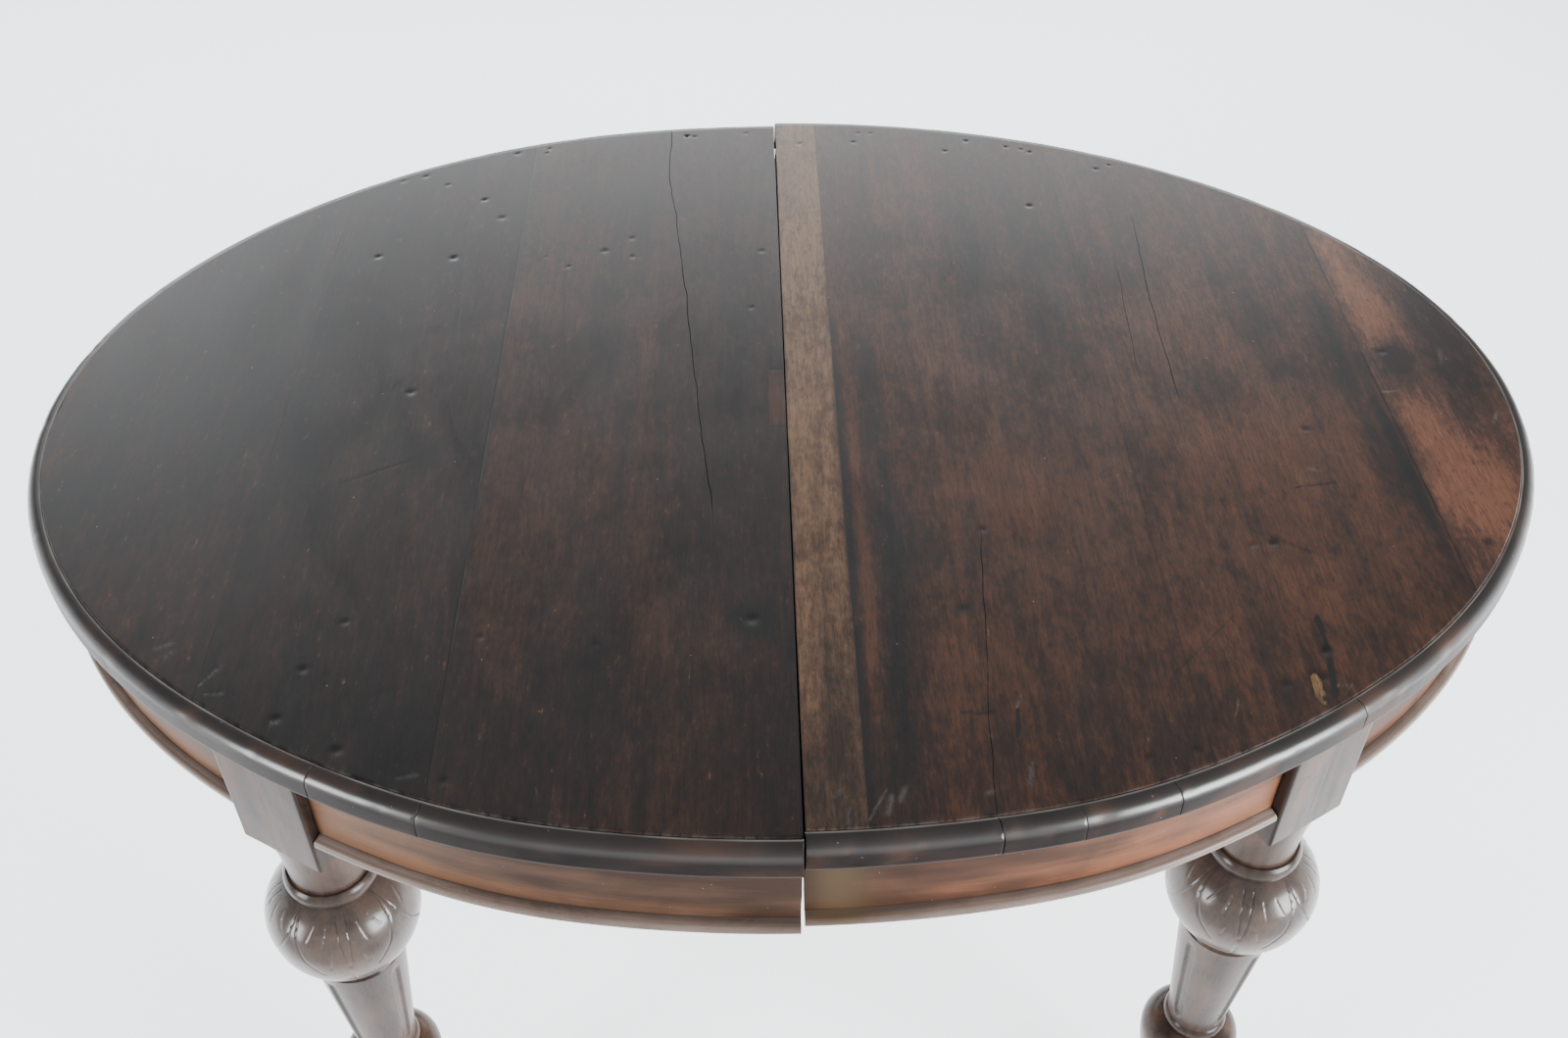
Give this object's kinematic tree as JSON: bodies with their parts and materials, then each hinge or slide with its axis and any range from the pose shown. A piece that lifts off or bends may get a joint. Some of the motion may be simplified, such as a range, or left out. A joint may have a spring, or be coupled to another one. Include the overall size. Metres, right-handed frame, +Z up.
{
  "type": "extending oval dining table",
  "caption": "Oval extending dining table with a moulded rim, curved apron and turned bulb legs; the top parts at a cross seam and slides open on wooden runners.",
  "frame": {"origin": "on the floor under the middle of the seam between the two halves, table shut", "axes": "+X along the table, towards the half that slides out; +Y along the seam, away from the front; +Z up"},
  "size_m": [1.4, 1.0464, 0.76],
  "materials": {
    "top_wood": "old dark red-brown polish, scratched and worn to a satin gloss",
    "end_board_wood": "redder board under the same worn polish",
    "strip_wood": "paler brown strip under the same worn polish",
    "rim_wood": "nearly black polish, glossy on the round",
    "apron_wood": "warm brown veneer with a worn satin polish",
    "bead_wood": "greyed brown moulding, satin",
    "leg_wood": "dark grey-brown turned wood, satin with polished high spots",
    "runner_wood": "bare planed hardwood, rubbed smooth where it slides",
    "peg_wood": "bare turned hardwood",
    "screw_steel": "dulled steel"
  },
  "bodies": {
    "left_half": {"left_back_apron": "apron_wood", "left_back_bead": "bead_wood", "left_back_end_rim": "rim_wood", "left_back_leg": "leg_wood", "left_back_rim": "rim_wood", "left_end_apron": "apron_wood", "left_end_bead": "bead_wood", "left_end_board": "top_wood", "left_front_apron": "apron_wood", "left_front_bead": "bead_wood", "left_front_end_rim": "rim_wood", "left_front_leg": "leg_wood", "left_front_rim": "rim_wood", "left_glue_blocks": "runner_wood", "left_inner_runner": "runner_wood", "left_middle_board": "top_wood", "left_outer_runner": "runner_wood", "left_runner_screws": "screw_steel", "left_seam_board": "top_wood", "seam_pegs": "peg_wood"},
    "right_half": {"right_back_apron": "apron_wood", "right_back_bead": "bead_wood", "right_back_end_rim": "rim_wood", "right_back_leg": "leg_wood", "right_back_rim": "rim_wood", "right_end_apron": "apron_wood", "right_end_bead": "bead_wood", "right_end_board": "end_board_wood", "right_front_apron": "apron_wood", "right_front_bead": "bead_wood", "right_front_end_rim": "rim_wood", "right_front_leg": "leg_wood", "right_front_rim": "rim_wood", "right_glue_blocks": "runner_wood", "right_inner_board": "top_wood", "right_inner_runner": "runner_wood", "right_middle_board": "top_wood", "right_outer_runner": "runner_wood", "right_runner_screws": "screw_steel", "right_seam_strip": "strip_wood"},
    "carriage": {"front_middle_runner": "runner_wood", "back_middle_runner": "runner_wood", "left_runner_tie": "runner_wood", "right_runner_tie": "runner_wood", "stop_pegs": "peg_wood", "tie_screws": "screw_steel"}
  },
  "joints": [
    {"name": "extend", "type": "slide", "parent": "left_half", "child": "right_half", "axis": [1, 0, 0], "range_m": [0, 1]},
    {"name": "carriage_slide", "type": "slide", "parent": "left_half", "child": "carriage", "axis": [1, 0, 0], "range_m": [0, 0.5]}
  ],
  "couplings": [
    {"joint": "carriage_slide", "follows": "extend", "ratio": 0.5}
  ]
}
